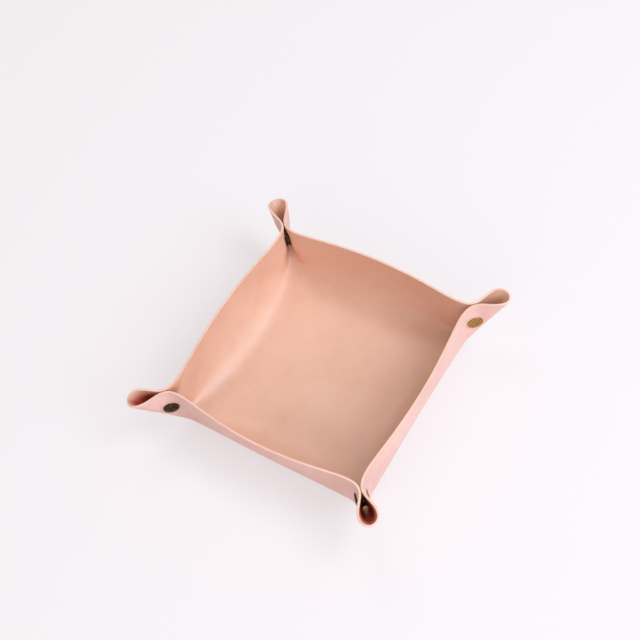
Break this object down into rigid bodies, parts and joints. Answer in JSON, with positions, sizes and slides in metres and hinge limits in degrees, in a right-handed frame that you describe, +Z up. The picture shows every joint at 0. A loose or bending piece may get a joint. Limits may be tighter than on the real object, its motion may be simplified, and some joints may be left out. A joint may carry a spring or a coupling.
{
  "type": "valet tray",
  "caption": "Square leather valet tray whose corners are pinched upright and held by snap fasteners, for keys, coins and other small things.",
  "frame": {"origin": "on the surface that the tray rests on, under the middle of its floor", "axes": "+Z up, out of the open top; the front wall is on -Y and the right wall on +X"},
  "size_m": [0.18, 0.18, 0.0422],
  "materials": {
    "leather": "soft pink grain leather, matte",
    "dark_brass": "antique dark brass",
    "gold_brass": "satin gold brass",
    "socket_brass": "plain stamped brass",
    "spring_steel": "bright spring wire"
  },
  "bodies": {
    "tray": {"leather_sheet": "leather"},
    "socket_half_back_right": {"cap_back_right": "dark_brass", "socket_back_right": "socket_brass", "socket_spring_back_right": "spring_steel"},
    "stud_half_back_right": {"stud_back_right": "socket_brass", "post_back_right": "gold_brass"},
    "socket_half_back_left": {"cap_back_left": "dark_brass", "socket_back_left": "socket_brass", "socket_spring_back_left": "spring_steel"},
    "stud_half_back_left": {"stud_back_left": "socket_brass", "post_back_left": "gold_brass"},
    "socket_half_front_left": {"cap_front_left": "dark_brass", "socket_front_left": "socket_brass", "socket_spring_front_left": "spring_steel"},
    "stud_half_front_left": {"stud_front_left": "socket_brass", "post_front_left": "gold_brass"},
    "socket_half_front_right": {"cap_front_right": "dark_brass", "socket_front_right": "socket_brass", "socket_spring_front_right": "spring_steel"},
    "stud_half_front_right": {"stud_front_right": "socket_brass", "post_front_right": "gold_brass"}
  },
  "joints": [
    {"name": "back_right_socket_open", "type": "hinge", "parent": "tray", "child": "socket_half_back_right", "pos_m": [0.0596, 0.0596, 0.00075], "axis": [-0.8481, -0.1174, -0.5167], "range_deg": [0, 30], "deforming": ["leather_sheet", "socket_spring_back_right"]},
    {"name": "back_right_stud_open", "type": "hinge", "parent": "tray", "child": "stud_half_back_right", "pos_m": [0.0596, 0.0596, 0.00075], "axis": [0.1174, 0.8481, 0.5167], "range_deg": [0, 30], "deforming": ["leather_sheet", "socket_spring_back_right"]},
    {"name": "back_left_socket_open", "type": "hinge", "parent": "tray", "child": "socket_half_back_left", "pos_m": [-0.0596, 0.0596, 0.00075], "axis": [-0.8481, 0.1174, 0.5167], "range_deg": [0, 30], "deforming": ["leather_sheet", "socket_spring_back_left"]},
    {"name": "back_left_stud_open", "type": "hinge", "parent": "tray", "child": "stud_half_back_left", "pos_m": [-0.0596, 0.0596, 0.00075], "axis": [0.1174, -0.8481, -0.5167], "range_deg": [0, 30], "deforming": ["leather_sheet", "socket_spring_back_left"]},
    {"name": "front_left_socket_open", "type": "hinge", "parent": "tray", "child": "socket_half_front_left", "pos_m": [-0.0596, -0.0596, 0.00075], "axis": [0.8481, 0.1174, -0.5167], "range_deg": [0, 30], "deforming": ["leather_sheet", "socket_spring_front_left"]},
    {"name": "front_left_stud_open", "type": "hinge", "parent": "tray", "child": "stud_half_front_left", "pos_m": [-0.0596, -0.0596, 0.00075], "axis": [-0.1174, -0.8481, 0.5167], "range_deg": [0, 30], "deforming": ["leather_sheet", "socket_spring_front_left"]},
    {"name": "front_right_socket_open", "type": "hinge", "parent": "tray", "child": "socket_half_front_right", "pos_m": [0.0596, -0.0596, 0.00075], "axis": [0.8481, -0.1174, 0.5167], "range_deg": [0, 30], "deforming": ["leather_sheet", "socket_spring_front_right"]},
    {"name": "front_right_stud_open", "type": "hinge", "parent": "tray", "child": "stud_half_front_right", "pos_m": [0.0596, -0.0596, 0.00075], "axis": [-0.1174, 0.8481, -0.5167], "range_deg": [0, 30], "deforming": ["leather_sheet", "socket_spring_front_right"]}
  ],
  "couplings": [
    {"joint": "back_right_stud_open", "follows": "back_right_socket_open", "ratio": 1},
    {"joint": "back_left_stud_open", "follows": "back_left_socket_open", "ratio": 1},
    {"joint": "front_left_stud_open", "follows": "front_left_socket_open", "ratio": 1},
    {"joint": "front_right_stud_open", "follows": "front_right_socket_open", "ratio": 1}
  ]
}
